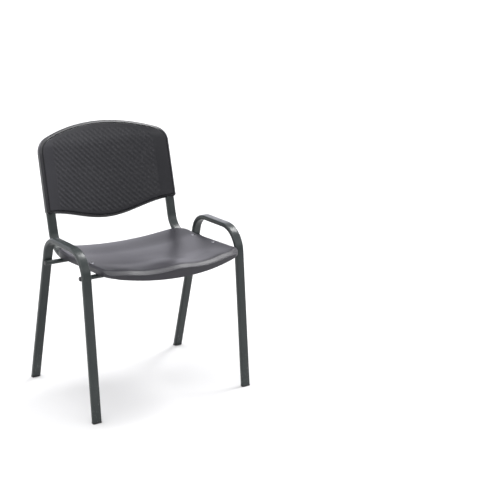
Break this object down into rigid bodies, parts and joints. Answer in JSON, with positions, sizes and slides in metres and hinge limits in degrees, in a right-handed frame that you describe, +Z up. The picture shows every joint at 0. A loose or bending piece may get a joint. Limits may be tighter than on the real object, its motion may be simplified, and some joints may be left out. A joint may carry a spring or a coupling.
{
  "type": "stacking chair",
  "caption": "Stacking chair with bent side arches that rise as loops beside a dished moulded seat, and a curved moulded backrest on two uprights.",
  "frame": {"origin": "on the floor under the middle of the chair's box", "axes": "+Z up, front of the seat towards -Y, +X to the right seen from the front with -Y towards the viewer"},
  "size_m": [0.579, 0.5522, 0.8191],
  "materials": {
    "frame_paint": "satin powder coat, dark grey",
    "seat_plastic": "satin, finely grained, anthracite grey",
    "back_plastic": "satin, woven embossing, anthracite grey",
    "plug_plastic": "matte black",
    "screw_steel": "bright zinc plated"
  },
  "bodies": {
    "root": {"left_side_arch": "frame_paint", "front_left_foot_plug": "plug_plastic", "rear_left_foot_plug": "plug_plastic", "right_side_arch": "frame_paint", "front_right_foot_plug": "plug_plastic", "rear_right_foot_plug": "plug_plastic", "front_cross_tube": "frame_paint", "rear_cross_tube": "frame_paint", "front_cross_plug_left": "plug_plastic", "rear_cross_plug_left": "plug_plastic", "front_cross_plug_right": "plug_plastic", "rear_cross_plug_right": "plug_plastic", "left_rail_upright": "frame_paint", "left_rail_plug": "plug_plastic", "left_upright_plug": "plug_plastic", "right_rail_upright": "frame_paint", "right_rail_plug": "plug_plastic", "right_upright_plug": "plug_plastic", "seat_screw_front_left": "screw_steel", "seat_nut_front_left": "screw_steel", "seat_screw_rear_left": "screw_steel", "seat_nut_rear_left": "screw_steel", "seat_screw_front_right": "screw_steel", "seat_nut_front_right": "screw_steel", "seat_screw_rear_right": "screw_steel", "seat_nut_rear_right": "screw_steel", "seat_shell": "seat_plastic", "backrest_front": "back_plastic", "backrest_rear_cover": "back_plastic", "back_screw_left": "screw_steel", "back_screw_right": "screw_steel"}
  },
  "joints": []
}
